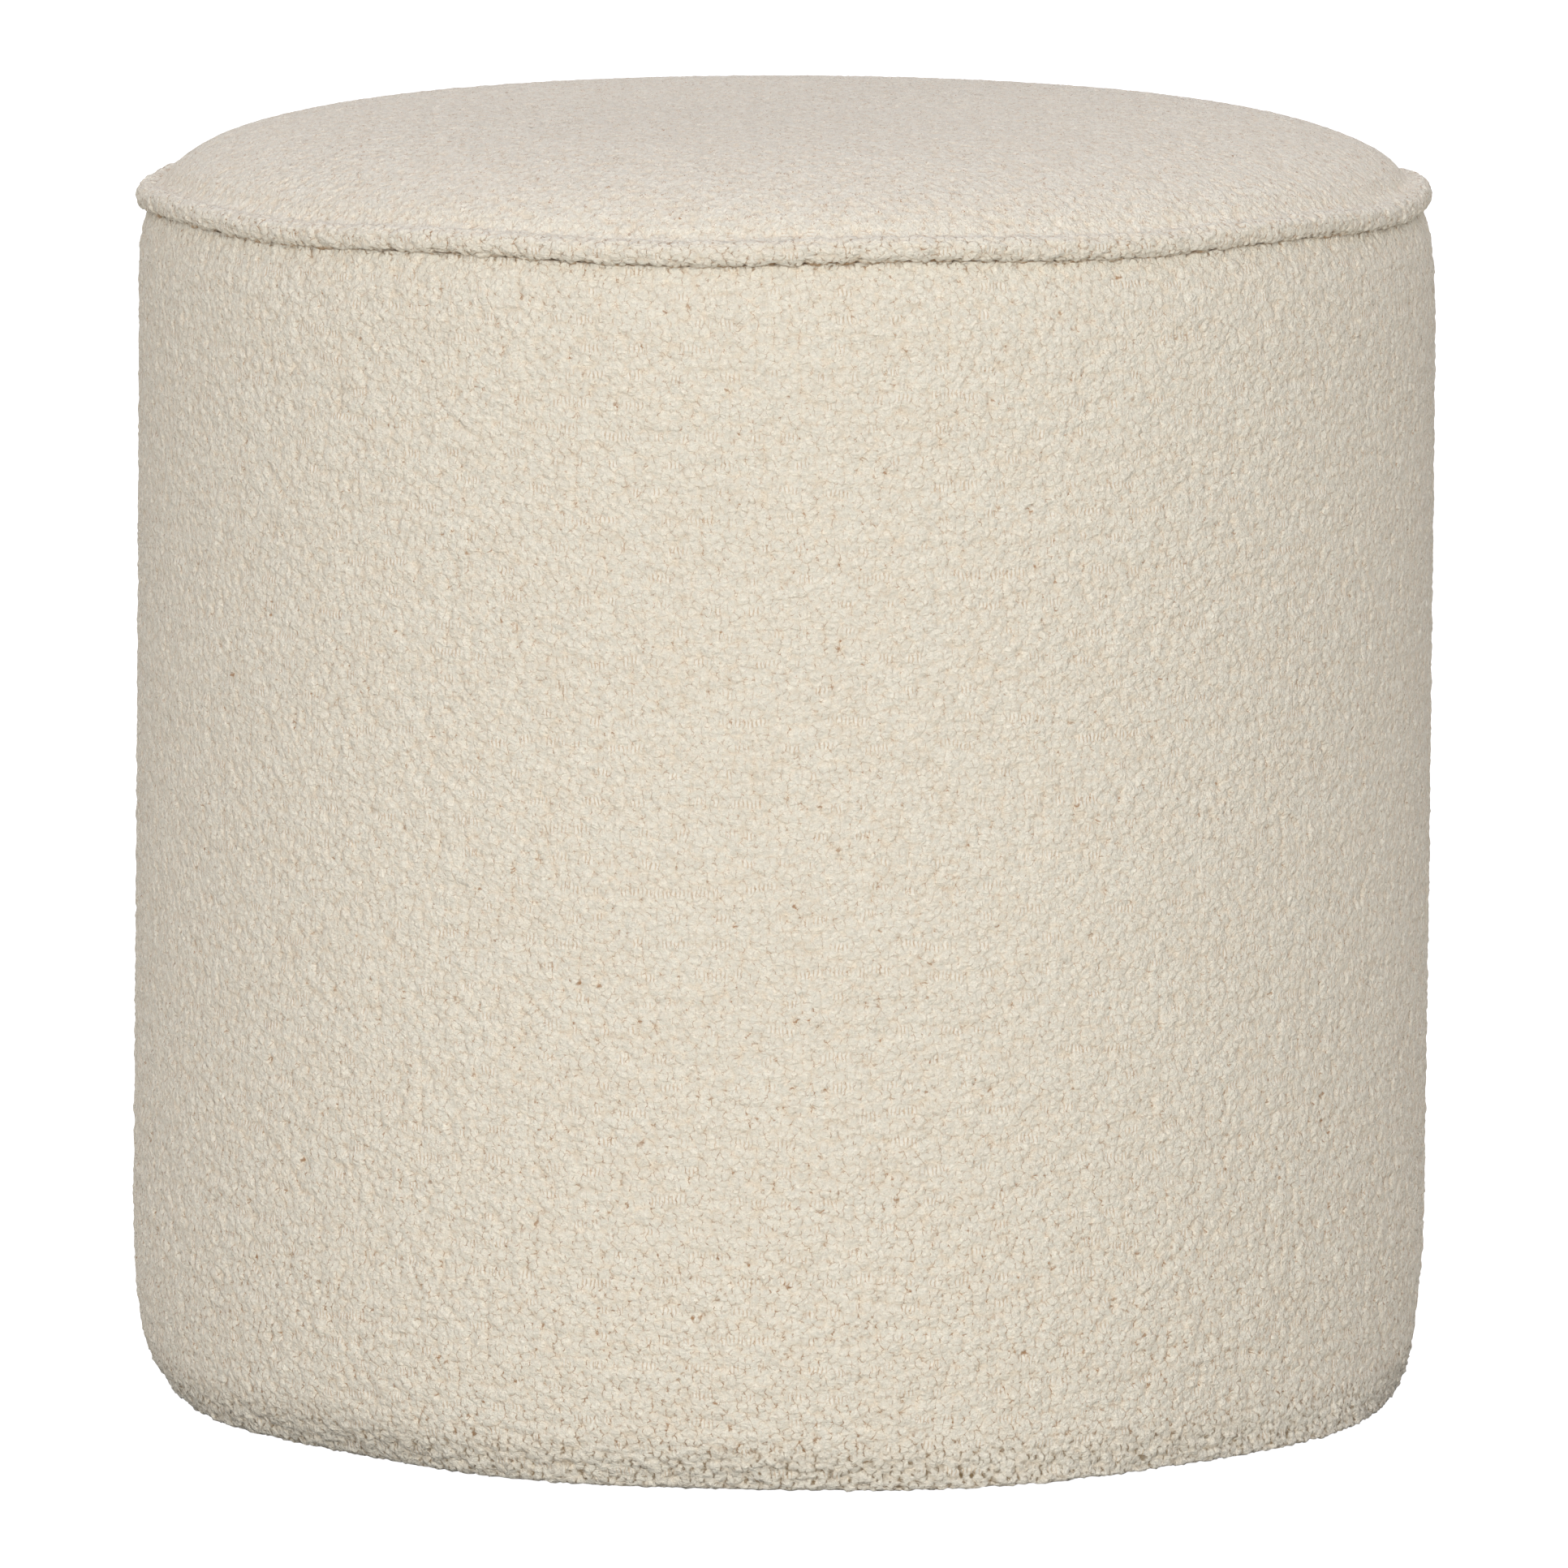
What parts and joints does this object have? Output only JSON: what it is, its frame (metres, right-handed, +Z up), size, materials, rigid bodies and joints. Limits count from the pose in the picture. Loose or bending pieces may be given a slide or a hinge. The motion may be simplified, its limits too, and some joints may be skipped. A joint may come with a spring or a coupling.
{
  "type": "round upholstered pouf",
  "caption": "Round filled floor pouf in cream boucle: crowned top with a welted edge, a soft side that draws in at the foot, and a flat base to stand on.",
  "frame": {"origin": "on the floor under the middle of the pouf", "axes": "+Z up along the pouf's round axis, -Y towards the viewer of the picture, +X to the viewer's right"},
  "size_m": [0.457, 0.4556, 0.4491],
  "materials": {
    "boucle": "matt looped pile",
    "base_cloth": "plain weave"
  },
  "bodies": {
    "root": {"side_panel": "boucle", "top_panel": "boucle", "welt": "boucle", "base_panel": "base_cloth"}
  },
  "joints": []
}
